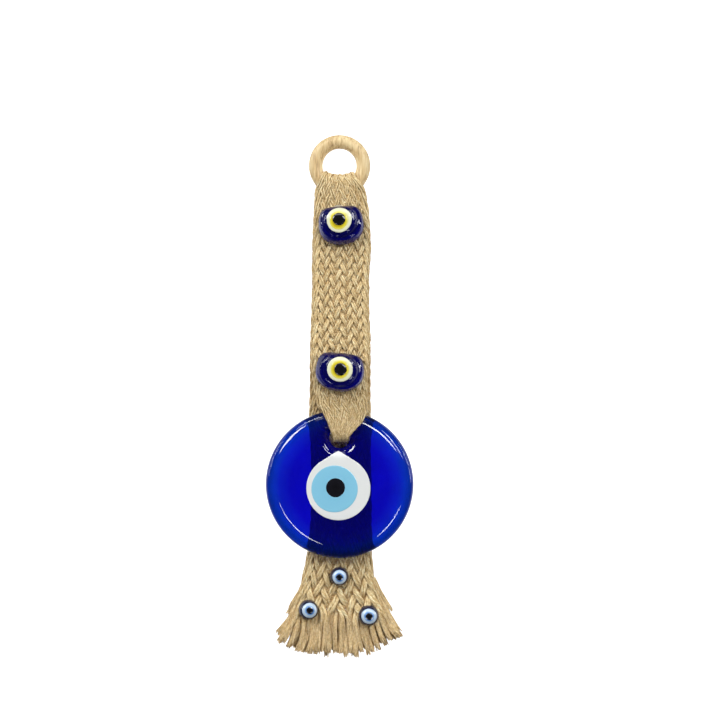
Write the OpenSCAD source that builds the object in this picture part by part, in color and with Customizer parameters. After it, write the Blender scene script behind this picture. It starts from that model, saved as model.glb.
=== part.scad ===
// Hanging glass eye charm: a flat jute braid looped over a turned wooden ring. The front run
// carries two lampwork eye beads and narrows through the hole of a pressed glass disc; the
// rear run passes behind the disc and ends in a fringed tail with three small eye charms.
// Front is -Y, up is +Z. The origin is the top of the ring's hole, where a hook bears.

/* [Wooden ring] */
// Outside diameter of the ring
ring_od = 25; // [24:0.5:30]
// Diameter of the ring's round section
ring_section = 5.7; // [5:0.1:6]

/* [Braid] */
// Thickness of the flat braid
strap_t = 3; // [2.5:0.1:3.2]
// Width of the front run of the braid
front_w = 23.6; // [22:0.1:24]
// Width of the rear run of the braid
rear_w = 25; // [24.5:0.1:26]
// Width of the braid where it bunches inside the ring
loop_w = 12.6; // [11:0.1:13]
// Height of the mid-strap flex line
flex_z = -60; // [-62:1:-58]

/* [Glass disc] */
// Diameter of the disc
disc_d = 60; // [58:0.5:62]
// Thickness of the disc
disc_t = 5.8; // [5.5:0.1:6]
// Height of the disc's centre
disc_z = -135.8; // [-137:0.1:-135]
// Diameter of the hole for the braid
hole_d = 9.2; // [9:0.1:9.6]
// Distance of the hole from the disc's centre
hole_up = 18.9; // [18.5:0.1:19.2]
// Diameter of the white drop
white_d = 25.8; // [25:0.1:26]
// Diameter of the light blue iris
blue_d = 18.8; // [18:0.1:19]
// Diameter of the black pupil
pupil_d = 7.8; // [7:0.1:8.5]

/* [Eye beads] */
// Width of a bead
bead_w = 19; // [18:0.5:20]
// Thickness of a bead
bead_t = 7.4; // [7:0.1:8]
// Diameter of a bead's white ring
bead_white_d = 10.3; // [10:0.1:10.6]
// Diameter of a bead's yellow ring
bead_yellow_d = 8; // [7.6:0.1:8.2]
// Diameter of a bead's pupil
bead_pupil_d = 5.1; // [4.8:0.1:5.4]

/* [Charms and fringe] */
// Diameter of a small charm
charm_d = 8; // [7.5:0.1:8.2]
// Thickness of a small charm
charm_t = 4.2; // [4:0.1:4.5]
// Number of cord ends in the fringe
fringe_n = 18; // [14:1:18]
// Diameter of one cord end
cord_d = 2; // [1.8:0.1:2]

/* [Hidden] */
$fn = 64;

big = 100;                 // half-size of a cutting block
glue_t = 0.3;              // thickness of a glue film
slip = 0.2;                // air between the disc and the braid

// Ring
section_r = ring_section / 2;
ring_r = ring_od / 2 - section_r;          // centreline radius
ring_cz = -(ring_r - section_r);           // centre of the ring
seat_z = ring_cz - ring_r;                 // centre of the lowest section
wrap_air = 0.15;                           // air between ring and braid
wrap_in = section_r + wrap_air;
wrap_out = wrap_in + strap_t;

// Depths of the braid's runs
front_y = -wrap_out;                       // face of the front run
front_back_y = front_y + strap_t;          // back of the front run
disc_front_y = front_back_y + slip;
disc_back_y = disc_front_y + disc_t;
tuck_y = disc_back_y + slip;               // braid end folded up behind the disc
tuck_t = 2.4;
rear_y = tuck_y + tuck_t + glue_t;         // front of the rear run behind the disc
back_y = rear_y + strap_t;                 // the face that rests on a wall

// Heights along the braid
loop_lift = 1.25;                          // extra rise of the bunched braid in the ring
loop_end_angle = 20;                       // where the loop stops, above the horizontal
run_top_z = seat_z - section_r - 0.4;      // the runs start just under the ring
join_top_z = -42;                          // the runs lie together between these
join_low_z = -80;
flex_gap = 4;
spread_z = -99;                            // the rear run is behind the disc from here
neck_gap = 2;
neck_hinge_z = -101;
neck_clear = 3.5;                          // the front run stops this far above that hinge
tail_gap = 2;
tail_hinge_z = -168;
tail_end_z = -191;

// Disc
disc_r = disc_d / 2;
hole_z = disc_z + hole_up;
disc_flat_r = 22;                          // flat middle of the front face
rim_foot = 1.2;                            // rounding at the back edge
flare = 1.2;                               // hole's flare, wide and deep
eye_depth = 1.6;
white_at = [-0.5, disc_z - 1.4];
white_tip_z = hole_z - hole_d / 2 - flare - 0.2;
blue_at = [-2.0, disc_z - 1.6];
pupil_at = [-1.6, disc_z - 1.1];
layer = 0.5;                               // depth lost from one glass layer to the next

// Beads: eye centre and lean of each, and how far the body reaches above and below it
bead_upper_at = [-0.1, -28.8];
bead_lower_at = [0.2, -89.1];
bead_upper_lean = 6;
bead_lower_lean = -4;
bead_up = 6.7;
bead_down = 9.2;
bead_crown = 4.4;                          // height over which the front rounds away
bead_flat_r = 5.6;                         // flat middle of the front, round the eye
bead_foot = 0.8;                           // bevel at the back edge
bead_back_y = front_y - glue_t;
bead_front_y = bead_back_y - bead_t;
eye_proud = 0.6;
bead_pocket = 1.4;

// Charms
charm_centre_at = [-0.2, -173.7];
charm_left_at = [-12.9, -187.3];
charm_right_at = [11.7, -189.6];
charm_back_y = rear_y - glue_t;
charm_front_y = charm_back_y - charm_t;
charm_white_d = 6.1;
charm_blue_d = 3.8;
charm_pupil_d = 2.7;
charm_pocket = 0.8;
charm_edge = 1.3;                          // height of a charm's domed edge

// Fringe
fringe_half_w = 19;
fringe_spread = 38;                        // lean of the outermost cord
fringe_len = 12.7;
fringe_root = 3;

// A shape drawn in (x, z), from depth y0 to y1
module front_plate(y0, y1) {
    rotate([90, 0, 0]) translate([0, 0, -y1]) linear_extrude(y1 - y0) children();
}

// A shape drawn in (y, z), centred on x = 0
module side_plate(w) {
    rotate([90, 0, 90]) linear_extrude(w, center = true) children();
}

// A disc facing the front, from depth y0 to y1
module round_plate(at, d, y0, y1) {
    translate([at[0], y1, at[1]]) rotate([90, 0, 0]) cylinder(d = d, h = y1 - y0);
}

// Side outline of a run whose front face follows points [y, z], top to bottom
module run_side(points) {
    back = [for (i = [len(points) - 1:-1:0]) [points[i][0] + strap_t, points[i][1]]];
    polygon(concat(points, back));
}

// Front outline of a run, with narrower shoulders at the top
module run_front(w, top, bottom, shoulder_w, shoulder) {
    polygon([
        [-shoulder_w / 2, top], [shoulder_w / 2, top], [w / 2, top - shoulder],
        [w / 2, bottom], [-w / 2, bottom], [-w / 2, top - shoulder],
    ]);
}

module ring_torus(r) {
    translate([0, 0, ring_cz]) rotate([90, 0, 0])
        rotate_extrude() translate([ring_r, 0]) circle(r);
}

module wood_ring() {
    color("burlywood") ring_torus(section_r);
}

module braid_loop() {
    leg = 2 * wrap_out;
    color("tan") difference() {
        intersection() {
            translate([0, 0, seat_z]) side_plate(loop_w) union() {
                circle(wrap_out);
                translate([0, loop_lift]) circle(wrap_out);
                translate([-wrap_out, 0]) square([leg, loop_lift]);
            }
            translate([0, 0, seat_z]) side_plate(loop_w + 2) polygon([
                [0, 0], [big, big * tan(loop_end_angle)], [big, big], [-big, big],
                [-big, big * tan(loop_end_angle)],
            ]);
        }
        ring_torus(wrap_in);
    }
}

module braid_front_upper() {
    color("tan") front_plate(front_y, front_back_y)
        run_front(front_w, run_top_z, flex_z + flex_gap / 2, front_w - 3, 9);
}

module braid_rear_upper() {
    join_y = front_back_y + glue_t;
    bottom = flex_z + flex_gap / 2;
    color("tan") intersection() {
        side_plate(rear_w + 2)
            run_side([[wrap_in, run_top_z], [join_y, join_top_z], [join_y, bottom]]);
        front_plate(-big, big)
            run_front(rear_w, run_top_z, bottom, front_w - 3, 9);
    }
}

module glue_layers(top, bottom) {
    color("ivory") front_plate(front_back_y, front_back_y + glue_t)
        translate([-8, bottom]) square([16, top - bottom]);
}

module braid_front_lower() {
    color("tan") front_plate(front_y, front_back_y)
        translate([-front_w / 2, neck_hinge_z + neck_clear])
            square([front_w, flex_z - flex_gap / 2 - neck_hinge_z - neck_clear]);
}

module braid_rear_lower() {
    join_y = front_back_y + glue_t;
    top = flex_z - flex_gap / 2;
    color("tan") side_plate(rear_w) run_side([
        [join_y, top], [join_y, join_low_z], [rear_y, spread_z],
        [rear_y, tail_hinge_z + tail_gap / 2],
    ]);
}

// Narrowed braid over the disc's front, through the hole and folded up behind the disc
module braid_neck() {
    plug_d = hole_d - 4 * slip;
    top = neck_hinge_z - neck_gap / 2;
    fold_h = 2.2;
    color("tan") {
        front_plate(front_y, front_back_y) polygon([
            [-front_w / 2 + 1, top], [front_w / 2 - 1, top],
            [plug_d / 2, hole_z], [-plug_d / 2, hole_z],
        ]);
        round_plate([0, hole_z], plug_d, front_y, tuck_y + tuck_t);
        front_plate(tuck_y, tuck_y + tuck_t) polygon([
            [-5, top], [5, top], [plug_d / 2, hole_z], [-plug_d / 2, hole_z],
        ]);
        front_plate(front_back_y + glue_t, tuck_y)
            translate([-5, top - fold_h]) square([10, fold_h]);
    }
}

module glue_neck() {
    color("ivory") front_plate(front_back_y, front_back_y + glue_t)
        translate([-5, neck_hinge_z - neck_gap / 2 - 2.2]) square([10, 2.2]);
}

// Half section of the disc: flat middle, a front edge that falls away, a rounded foot
module disc_section() {
    edge_w = disc_r - disc_flat_r;
    edge_h = disc_t - rim_foot;
    steps = 12;
    polygon(concat(
        [[0, 0], [disc_r - rim_foot, 0]],
        [for (i = [1:4]) let (a = 90 * i / 5)
            [disc_r - rim_foot + rim_foot * sin(a), rim_foot - rim_foot * cos(a)]],
        [for (i = [0:steps]) let (a = 90 * i / steps)
            [disc_flat_r + edge_w * cos(a), rim_foot + edge_h * sin(a)]],
        [[0, disc_t]]
    ));
}

// Outline of the white drop: a circle drawn up to a tip below the hole
module drop_outline() {
    r = white_d / 2;
    rise = white_tip_z - white_at[1];
    touch = acos(r / rise);
    steps = 60;
    translate(white_at) polygon(concat(
        [[0, rise]],
        [for (i = [0:steps]) let (a = touch + (360 - 2 * touch) * i / steps)
            [r * sin(a), r * cos(a)]]
    ));
}

module disc_glass() {
    flare_d = hole_d + 2 * flare;
    color("mediumblue") difference() {
        translate([0, disc_back_y, disc_z]) rotate([90, 0, 0])
            rotate_extrude($fn = 128) disc_section();
        round_plate([0, hole_z], hole_d, disc_front_y - 1, disc_back_y + 1);
        translate([0, disc_front_y - 0.01, hole_z]) rotate([-90, 0, 0])
            cylinder(d1 = flare_d, d2 = hole_d, h = flare);
        translate([0, disc_back_y + 0.01, hole_z]) rotate([90, 0, 0])
            cylinder(d1 = flare_d, d2 = hole_d, h = flare);
        front_plate(disc_front_y - 1, disc_front_y + eye_depth) drop_outline();
    }
}

module disc_eye_white() {
    color("white") difference() {
        front_plate(disc_front_y, disc_front_y + eye_depth) drop_outline();
        round_plate(blue_at, blue_d, disc_front_y - 1, disc_front_y + eye_depth - layer);
    }
}

module disc_eye_blue() {
    color("skyblue") difference() {
        round_plate(blue_at, blue_d, disc_front_y, disc_front_y + eye_depth - layer);
        round_plate(pupil_at, pupil_d, disc_front_y - 1, disc_front_y + layer);
    }
}

module disc_eye_pupil() {
    color("black") round_plate(pupil_at, pupil_d, disc_front_y, disc_front_y + layer);
}

// Bead: a round domed body with its top cut flatter, cut flat at the back where it is glued on
module bead_body(at, lean) {
    r = bead_w / 2;
    steps = 8;
    side_h = bead_t - bead_crown;
    color("navy") translate([at[0], 0, at[1]]) rotate([0, -lean, 0]) difference() {
        translate([0, bead_back_y, r - bead_down]) rotate([90, 0, 0]) rotate_extrude()
            polygon(concat(
                [[0, 0], [r - bead_foot, 0], [r, bead_foot]],
                [for (i = [0:steps - 1]) let (a = 90 * i / steps)
                    [bead_flat_r + (r - bead_flat_r) * cos(a), side_h + bead_crown * sin(a)]],
                [[bead_flat_r, bead_t], [0, bead_t]]
            ));
        translate([-big, -big, bead_up]) cube(2 * big);
        round_plate([0, 0], bead_white_d, bead_front_y - 1, bead_front_y + bead_pocket);
    }
}

module eye_ring(at, d_out, d_in, y0, y1) {
    difference() {
        round_plate(at, d_out, y0, y1);
        round_plate(at, d_in, y0 - 1, y1 + 1);
    }
}

module bead_white(at) {
    color("ivory")
        eye_ring(at, bead_white_d, bead_yellow_d, bead_front_y - eye_proud,
            bead_front_y + bead_pocket);
}

module bead_yellow(at) {
    color("gold")
        eye_ring(at, bead_yellow_d, bead_pupil_d, bead_front_y - eye_proud,
            bead_front_y + bead_pocket);
}

module bead_pupil(at) {
    color("black")
        round_plate(at, bead_pupil_d, bead_front_y - eye_proud, bead_front_y + bead_pocket);
}

module glue_bead(at) {
    color("ivory") round_plate(at, 11, bead_back_y, front_y);
}

// Small charm: flat back, domed edge, with a pocket for its eye
module charm_body(at) {
    r = charm_d / 2;
    steps = 6;
    color("midnightblue") difference() {
        translate([at[0], charm_back_y, at[1]]) rotate([90, 0, 0]) rotate_extrude()
            polygon(concat(
                [[0, 0], [r - 0.4, 0], [r, 0.4]],
                [for (i = [0:steps]) let (a = 90 * i / steps)
                    [r - charm_edge + charm_edge * cos(a),
                        charm_t - charm_edge + charm_edge * sin(a)]],
                [[0, charm_t]]
            ));
        round_plate(at, charm_white_d, charm_front_y - 1, charm_front_y + charm_pocket);
    }
}

module charm_white(at) {
    color("white") eye_ring(at, charm_white_d, charm_blue_d, charm_front_y,
        charm_front_y + charm_pocket);
}

module charm_blue(at) {
    color("steelblue") eye_ring(at, charm_blue_d, charm_pupil_d, charm_front_y,
        charm_front_y + charm_pocket);
}

module charm_pupil(at) {
    color("black") round_plate(at, charm_pupil_d, charm_front_y - glue_t,
        charm_front_y + charm_pocket);
}

module braid_tail() {
    top = tail_hinge_z - tail_gap / 2;
    color("tan") front_plate(rear_y, back_y) polygon([
        [-rear_w / 2 - 1, top], [rear_w / 2 + 1, top], [rear_w / 2 + 3, top - 11],
        [fringe_half_w + 1, tail_end_z], [-fringe_half_w - 1, tail_end_z],
        [-rear_w / 2 - 3, top - 11],
    ]);
}

// Frayed cord ends fanning out from a short band
module fringe_cords() {
    y = (rear_y + back_y) / 2;
    color("wheat") {
        front_plate(rear_y + 0.2, back_y - 0.2)
            translate([-fringe_half_w - 1, tail_end_z - fringe_root])
                square([2 * fringe_half_w + 2, fringe_root]);
        for (i = [0:fringe_n - 1]) {
            t = 2 * i / (fringe_n - 1) - 1;
            lean = fringe_spread * t;
            translate([fringe_half_w * t, y, tail_end_z - fringe_root / 2])
                rotate([0, 180 - lean, 0]) cylinder(d = cord_d, h = fringe_len);
        }
    }
}

module glue_charm(at) {
    color("ivory") round_plate(at, 5, charm_back_y, rear_y);
}

wood_ring();
braid_loop();
braid_front_upper();
braid_rear_upper();
glue_layers(-46, -56);  // glue_layers_upper
glue_bead(bead_upper_at);  // glue_bead_upper
bead_body(bead_upper_at, bead_upper_lean);  // bead_upper_body
bead_white(bead_upper_at);  // bead_upper_white
bead_yellow(bead_upper_at);  // bead_upper_yellow
bead_pupil(bead_upper_at);  // bead_upper_pupil
braid_front_lower();
braid_rear_lower();
glue_layers(-65, -77);  // glue_layers_lower
glue_bead(bead_lower_at);  // glue_bead_lower
bead_body(bead_lower_at, bead_lower_lean);  // bead_lower_body
bead_white(bead_lower_at);  // bead_lower_white
bead_yellow(bead_lower_at);  // bead_lower_yellow
bead_pupil(bead_lower_at);  // bead_lower_pupil
braid_neck();
glue_neck();
disc_glass();
disc_eye_white();
disc_eye_blue();
disc_eye_pupil();
braid_tail();
fringe_cords();
glue_charm(charm_centre_at);  // glue_charm_centre
glue_charm(charm_left_at);  // glue_charm_left
glue_charm(charm_right_at);  // glue_charm_right
charm_body(charm_centre_at);  // charm_centre_body
charm_white(charm_centre_at);  // charm_centre_white
charm_blue(charm_centre_at);  // charm_centre_blue
charm_pupil(charm_centre_at);  // charm_centre_pupil
charm_body(charm_left_at);  // charm_left_body
charm_white(charm_left_at);  // charm_left_white
charm_blue(charm_left_at);  // charm_left_blue
charm_pupil(charm_left_at);  // charm_left_pupil
charm_body(charm_right_at);  // charm_right_body
charm_white(charm_right_at);  // charm_right_white
charm_blue(charm_right_at);  // charm_right_blue
charm_pupil(charm_right_at);  // charm_right_pupil
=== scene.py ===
"""Evil eye ornament: jute braid on a wooden ring, glass eye beads, glass eye disc and small charms.

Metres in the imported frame: front is -Y, up is +Z. Sizes below are in millimetres until MM is applied.
"""
import math
import random

import bpy
import numpy as np
from mathutils import Matrix, Vector


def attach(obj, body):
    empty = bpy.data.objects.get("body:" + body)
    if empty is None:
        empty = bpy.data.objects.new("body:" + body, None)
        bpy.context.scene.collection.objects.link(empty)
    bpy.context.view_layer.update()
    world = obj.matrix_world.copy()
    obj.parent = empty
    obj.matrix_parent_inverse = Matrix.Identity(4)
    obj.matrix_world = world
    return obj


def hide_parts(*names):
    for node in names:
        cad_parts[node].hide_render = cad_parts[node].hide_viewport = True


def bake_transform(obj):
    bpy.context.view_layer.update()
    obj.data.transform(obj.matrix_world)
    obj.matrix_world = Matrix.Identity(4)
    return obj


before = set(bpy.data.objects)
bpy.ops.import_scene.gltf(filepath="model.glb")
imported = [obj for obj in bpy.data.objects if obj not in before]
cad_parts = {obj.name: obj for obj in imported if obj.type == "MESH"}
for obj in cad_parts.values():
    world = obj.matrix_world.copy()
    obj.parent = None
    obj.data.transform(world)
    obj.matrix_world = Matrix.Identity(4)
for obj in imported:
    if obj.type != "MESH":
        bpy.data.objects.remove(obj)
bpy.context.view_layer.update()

MM = 0.001

# Frame of the object, in mm
RING_Z, RING_R, RING_SECTION = -6.8, 9.65, 2.85
SEAT_Z = RING_Z - RING_R
DISC_Z, DISC_R, DISC_FRONT, DISC_BACK = -135.8, 30.0, -2.8, 3.0
HOLE_Z, HOLE_R = -116.9, 4.2

# ---------------------------------------------------------------- materials


def new_material(name):
    """A material with one principled shader."""
    m = bpy.data.materials.new(name)
    m.use_nodes = True
    nt = m.node_tree
    nt.nodes.clear()
    out = nt.nodes.new("ShaderNodeOutputMaterial")
    bsdf = nt.nodes.new("ShaderNodeBsdfPrincipled")
    nt.links.new(bsdf.outputs["BSDF"], out.inputs["Surface"])
    return m, nt, bsdf


def node(nt, kind, **values):
    """A node with some of its properties or sockets set."""
    n = nt.nodes.new(kind)
    for key, value in values.items():
        if hasattr(n, key):
            setattr(n, key, value)
        else:
            n.inputs[key].default_value = value
    return n


def maths(nt, operation, *terms):
    """The result of an operation on sockets and numbers."""
    n = node(nt, "ShaderNodeMath", operation=operation)
    for socket, term in zip(n.inputs, terms):
        if isinstance(term, float):
            socket.default_value = term
        else:
            nt.links.new(term, socket)
    return n.outputs[0]


def noise(nt, at, scale, detail, roughness=0.5, distortion=0.0):
    n = node(nt, "ShaderNodeTexNoise", Scale=scale, Detail=detail, Roughness=roughness, Distortion=distortion)
    nt.links.new(at, n.inputs["Vector"])
    return n.outputs["Fac"]


def ramp(nt, fac, stops):
    """The colour that fac picks from stops of (position, colour)."""
    n = nt.nodes.new("ShaderNodeValToRGB")
    while len(n.color_ramp.elements) < len(stops):
        n.color_ramp.elements.new(0.5)
    for e, (at, colour) in zip(n.color_ramp.elements, stops):
        e.position = at
        e.color = (*colour, 1)
    nt.links.new(fac, n.inputs["Fac"])
    return n.outputs["Color"]


def product(nt, a, b):
    """Colour a times colour b."""
    mix = node(nt, "ShaderNodeMix", data_type="RGBA", blend_type="MULTIPLY")
    mix.inputs["Factor"].default_value = 1.0
    nt.links.new(a, mix.inputs["A"])
    nt.links.new(b, mix.inputs["B"])
    return mix.outputs["Result"]


def remap(nt, value, lo, hi):
    """0 to 1 becomes lo to hi."""
    n = nt.nodes.new("ShaderNodeMapRange")
    nt.links.new(value, n.inputs["Value"])
    n.inputs["To Min"].default_value = lo
    n.inputs["To Max"].default_value = hi
    return n.outputs["Result"]


def raise_bumps(nt, bsdf, height, strength, distance):
    bump = node(nt, "ShaderNodeBump", Strength=strength, Distance=distance)
    nt.links.new(height, bump.inputs["Height"])
    nt.links.new(bump.outputs["Normal"], bsdf.inputs["Normal"])


def surface_uv(nt):
    """U and V of the mesh."""
    uv = node(nt, "ShaderNodeUVMap", uv_map="UVMap")
    sep = nt.nodes.new("ShaderNodeSeparateXYZ")
    nt.links.new(uv.outputs["UV"], sep.inputs["Vector"])
    return sep.outputs["X"], sep.outputs["Y"]


def jute_material(name, light):
    """Fibres run along V, in millimetres along the yarn, with a slow twist; U goes round the yarn."""
    m, nt, bsdf = new_material(name)
    around, along = surface_uv(nt)
    twisted = maths(nt, "MULTIPLY", maths(nt, "MULTIPLY_ADD", along, 0.085, around), math.tau)
    fibre_at = nt.nodes.new("ShaderNodeCombineXYZ")
    nt.links.new(maths(nt, "SINE", twisted), fibre_at.inputs["X"])
    nt.links.new(maths(nt, "COSINE", twisted), fibre_at.inputs["Y"])
    nt.links.new(maths(nt, "MULTIPLY", along, 0.16), fibre_at.inputs["Z"])
    fibre = noise(nt, fibre_at.outputs[0], 2.0, 5.0, 0.72)
    slow = noise(nt, fibre_at.outputs[0], 0.5, 2.0)
    stops = [(0.34, (0.300, 0.172, 0.060)), (0.43, (0.590, 0.430, 0.200)), (0.54, (0.770, 0.625, 0.360)),
             (0.66, (0.960, 0.880, 0.640))]
    tone = ramp(nt, fibre, [(at, tuple(min(0.97, c * light) for c in colour)) for at, colour in stops])
    shade = ramp(nt, slow, [(0.3, (0.88, 0.86, 0.82)), (0.7, (1.06, 1.06, 1.06))])
    place = nt.nodes.new("ShaderNodeTexCoord")
    fleck = noise(nt, place.outputs["Object"], 1100.0, 2.0, 0.7)
    flecks = ramp(nt, fleck, [(0.36, (0.80, 0.76, 0.68)), (0.50, (0.98, 0.97, 0.96)), (0.66, (1.10, 1.11, 1.13))])
    # painted shade: darker and browner down the flanks of each yarn, where one yarn meets the next, and a touch
    # lighter along its middle
    flank_shade_mask = maths(nt, "ABSOLUTE", maths(nt, "SINE", maths(nt, "MULTIPLY", around, math.tau)))
    painted_crevice_shade = ramp(nt, flank_shade_mask, [(0.50, (1.07, 1.07, 1.08)), (0.80, (0.90, 0.84, 0.74)), (1.0, (0.56, 0.40, 0.24))])
    colour = product(nt, product(nt, product(nt, tone, shade), flecks), painted_crevice_shade)
    nt.links.new(colour, bsdf.inputs["Base Color"])
    nt.links.new(remap(nt, fibre, 0.95, 0.62), bsdf.inputs["Roughness"])
    bsdf.inputs["Specular IOR Level"].default_value = 0.18
    bsdf.inputs["Sheen Weight"].default_value = 0.12
    bsdf.inputs["Sheen Roughness"].default_value = 0.6
    raise_bumps(nt, bsdf, fibre, 0.75, 0.0003)
    return m


def wood_material():
    """Pale beech: straight grain along Z, with fine pores and a worn sheen."""
    m, nt, bsdf = new_material("beech")
    place = nt.nodes.new("ShaderNodeTexCoord")

    def stretched(scale, turn):
        n = nt.nodes.new("ShaderNodeMapping")
        n.inputs["Scale"].default_value = scale
        n.inputs["Rotation"].default_value = turn
        nt.links.new(place.outputs["Object"], n.inputs["Vector"])
        return n.outputs[0]

    grain = noise(nt, stretched((1300, 1300, 110), (0.05, 0.12, 0)), 1.0, 6.0, 0.6, 0.25)
    bands = noise(nt, stretched((210, 210, 30), (0, 0, 0)), 1.0, 3.0)
    tone = ramp(nt, grain, [(0.32, (0.480, 0.310, 0.150)), (0.46, (0.800, 0.590, 0.300)),
                            (0.64, (0.960, 0.800, 0.470))])
    shade = ramp(nt, bands, [(0.3, (0.84, 0.80, 0.74)), (0.7, (1.0, 1.0, 1.0))])
    nt.links.new(product(nt, tone, shade), bsdf.inputs["Base Color"])
    nt.links.new(remap(nt, grain, 0.48, 0.30), bsdf.inputs["Roughness"])
    raise_bumps(nt, bsdf, grain, 0.25, 0.0002)
    return m


def ripple(nt, bsdf, scale, strength):
    """The faint unevenness of hand-worked glass. Returns the place on the object."""
    place = nt.nodes.new("ShaderNodeTexCoord").outputs["Object"]
    raise_bumps(nt, bsdf, noise(nt, place, scale, 2.0, 0.4), strength, 0.0004)
    return place


def clear_glass(name, centre, radius, stops, transmission, uneven):
    """Coloured glass with a little milk in it; its colour runs outward from centre in the XZ plane (mm), and its
    stops paint the light and shade that the glass shows toward its edge.
    """
    m, nt, bsdf = new_material(name)
    place = ripple(nt, bsdf, 60.0, uneven)
    off = node(nt, "ShaderNodeVectorMath", operation="SUBTRACT")
    nt.links.new(place, off.inputs[0])
    off.inputs[1].default_value = (centre[0] * MM, 0, centre[1] * MM)
    flat = node(nt, "ShaderNodeVectorMath", operation="MULTIPLY")
    nt.links.new(off.outputs[0], flat.inputs[0])
    flat.inputs[1].default_value = (1 / (radius * MM), 0, 1 / (radius * MM))
    reach = node(nt, "ShaderNodeVectorMath", operation="LENGTH")
    nt.links.new(flat.outputs[0], reach.inputs[0])
    # the radial stops paint light and shade over the glass's own colour
    glass_tint_and_painted_light = ramp(nt, reach.outputs["Value"], stops)
    veil = ramp(nt, noise(nt, place, 110.0, 3.0), [(0.35, (0.90, 0.90, 0.90)), (0.65, (1.04, 1.04, 1.04))])
    nt.links.new(product(nt, glass_tint_and_painted_light, veil), bsdf.inputs["Base Color"])
    bsdf.inputs["Roughness"].default_value = 0.015
    bsdf.inputs["IOR"].default_value = 1.5
    bsdf.inputs["Transmission Weight"].default_value = transmission
    return m


def opaque_glass(name, stops):
    """Poured opaque glass; its colour runs outward over the surface's own radial U."""
    m, nt, bsdf = new_material(name)
    place = ripple(nt, bsdf, 150.0, 0.10)
    outward, _ = surface_uv(nt)
    soft = maths(nt, "MULTIPLY_ADD", noise(nt, place, 500.0, 2.0), 0.06, outward)
    nt.links.new(ramp(nt, soft, stops), bsdf.inputs["Base Color"])
    bsdf.inputs["Roughness"].default_value = 0.06
    bsdf.inputs["Coat Weight"].default_value = 0.6
    bsdf.inputs["Coat Roughness"].default_value = 0.02
    return m


def glue_material():
    m, nt, bsdf = new_material("set_glue")
    place = ripple(nt, bsdf, 700.0, 0.3)
    tone = ramp(nt, noise(nt, place, 400.0, 3.0), [(0.3, (0.55, 0.47, 0.32)), (0.7, (0.78, 0.72, 0.58))])
    nt.links.new(tone, bsdf.inputs["Base Color"])
    bsdf.inputs["Roughness"].default_value = 0.3
    return m


JUTE = jute_material("jute_yarn", 1.10)
JUTE_FRINGE = jute_material("jute_fringe", 1.26)
WOOD = wood_material()
# cobalt stops: the glass's blue, with painted light making it lighter and greener out to where the edge thins, and
# painted shade darkening the rounded rim
COBALT = clear_glass("cobalt_glass", (0.0, DISC_Z), DISC_R, [
    (0.0, (0.0010, 0.0010, 0.40)), (0.66, (0.0020, 0.0015, 0.46)), (0.80, (0.0028, 0.0110, 0.50)),
    (0.87, (0.0018, 0.0260, 0.47)), (0.935, (0.0010, 0.0240, 0.33)), (0.985, (0.0024, 0.0180, 0.23))], 0.78, 0.08)
# bead stops: dark navy glass with painted light, brighter blue toward the edge where light passes through; the ramp
# centres sit above the bead middles, so the bottom glows most
BEAD_TINT_AND_EDGE_GLOW = [(0.0, (0.002, 0.002, 0.11)), (0.60, (0.002, 0.002, 0.15)), (0.80, (0.003, 0.003, 0.32)),
              (1.0, (0.003, 0.004, 0.46))]
NAVY_UP = clear_glass("navy_glass_upper", (0.7, -28.0), 13.0, BEAD_TINT_AND_EDGE_GLOW, 0.50, 0.04)
NAVY_LOW = clear_glass("navy_glass_lower", (0.15, -86.5), 13.0, BEAD_TINT_AND_EDGE_GLOW, 0.50, 0.04)
WHITE = opaque_glass("white_glass", [(0.0, (0.80, 0.83, 0.82)), (1.0, (0.82, 0.84, 0.83))])
SKY = opaque_glass("sky_glass", [(0.0, (0.225, 0.560, 0.775)), (1.0, (0.255, 0.610, 0.810))])
BLACK = opaque_glass("black_glass", [(0.0, (0.004, 0.004, 0.006)), (1.0, (0.008, 0.008, 0.012))])
CREAM = opaque_glass("cream_glass", [(0.0, (0.80, 0.76, 0.20)), (0.72, (0.82, 0.78, 0.28)),
                                     (0.83, (0.85, 0.86, 0.58)), (1.0, (0.80, 0.82, 0.62))])
YELLOW = opaque_glass("yellow_glass", [(0.0, (0.40, 0.27, 0.01)), (0.66, (0.50, 0.38, 0.012)),
                                       (0.84, (0.74, 0.62, 0.03)), (1.0, (0.82, 0.76, 0.16))])
CHARM_WHITE = opaque_glass("charm_white_glass", [(0.0, (0.25, 0.42, 0.74)), (0.64, (0.38, 0.56, 0.80)),
                                                 (0.80, (0.62, 0.75, 0.86)), (1.0, (0.50, 0.64, 0.82))])
CHARM_BLUE = opaque_glass("charm_blue_glass", [(0.0, (0.03, 0.07, 0.26)), (0.72, (0.06, 0.16, 0.46)),
                                               (1.0, (0.24, 0.44, 0.78))])
CHARM_NAVY = opaque_glass("charm_navy_glass", [(0.0, (0.006, 0.012, 0.05)), (1.0, (0.006, 0.012, 0.05))])
GLUE = glue_material()

# ---------------------------------------------------------------- mesh building


def mesh_object(name, verts, faces, uvs, material):
    """verts in millimetres; uvs has one pair for each corner of each face, in order."""
    me = bpy.data.meshes.new(name)
    me.from_pydata([tuple(v) for v in np.asarray(verts) * MM], [], [tuple(int(i) for i in f) for f in faces])
    if uvs is not None:
        layer = me.uv_layers.new(name="UVMap")
        layer.data.foreach_set("uv", np.asarray(uvs, np.float32).ravel())
    me.polygons.foreach_set("use_smooth", [True] * len(me.polygons))
    me.materials.append(material)
    me.validate()
    me.update()
    o = bpy.data.objects.new(name, me)
    bpy.context.scene.collection.objects.link(o)
    return o


def smoothstep(lo, hi, x):
    """0 below lo, 1 above hi, and an easy curve between."""
    t = np.clip((np.asarray(x, float) - lo) / (hi - lo), 0, 1)
    return t * t * (3 - 2 * t)


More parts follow.
